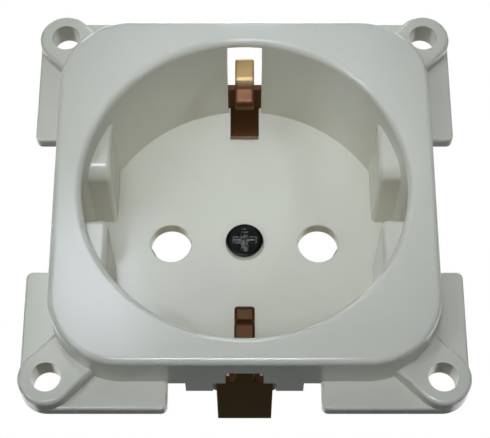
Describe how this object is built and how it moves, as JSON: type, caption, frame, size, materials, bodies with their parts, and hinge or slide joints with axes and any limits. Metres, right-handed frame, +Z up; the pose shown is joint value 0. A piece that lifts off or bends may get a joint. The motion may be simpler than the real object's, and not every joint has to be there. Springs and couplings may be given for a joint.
{
  "type": "type f wall socket",
  "caption": "Square wall socket insert with a round recessed plug well, sprung earth clips above and below, corner fixing lugs and rear screw terminals.",
  "frame": {"origin": "centre of the lug holes, on the plane where the lugs sit on the wall plate", "axes": "+X right, +Z up on the wall, +Y into the wall, so the front faces -Y"},
  "size_m": [0.0522, 0.0355, 0.0522],
  "materials": {
    "white_thermoplastic": "smooth moulded gloss, slightly cool white",
    "phosphor_bronze": "rolled strip, darkened",
    "dark_nickel_steel": "dark plated",
    "zinc_plated_steel": "zinc plated, satin",
    "nickel_plated_brass": "nickel plated, turned",
    "contact_brass": "rolled strip",
    "grey_thermoset": "moulded, fine matte"
  },
  "bodies": {
    "root": {"front_body": "white_thermoplastic", "earth_bracket": "phosphor_bronze", "centre_screw": "dark_nickel_steel", "centre_nut": "zinc_plated_steel", "contact_carrier": "grey_thermoset", "earth_nut": "zinc_plated_steel", "earth_clamp": "zinc_plated_steel", "earth_screw": "nickel_plated_brass", "line_contact_left": "contact_brass", "line_contact_right": "contact_brass", "terminal_nut_left": "zinc_plated_steel", "terminal_nut_right": "zinc_plated_steel", "terminal_clamp_left": "zinc_plated_steel", "terminal_clamp_right": "zinc_plated_steel", "terminal_screw_left": "nickel_plated_brass", "terminal_screw_right": "nickel_plated_brass"}
  },
  "joints": []
}
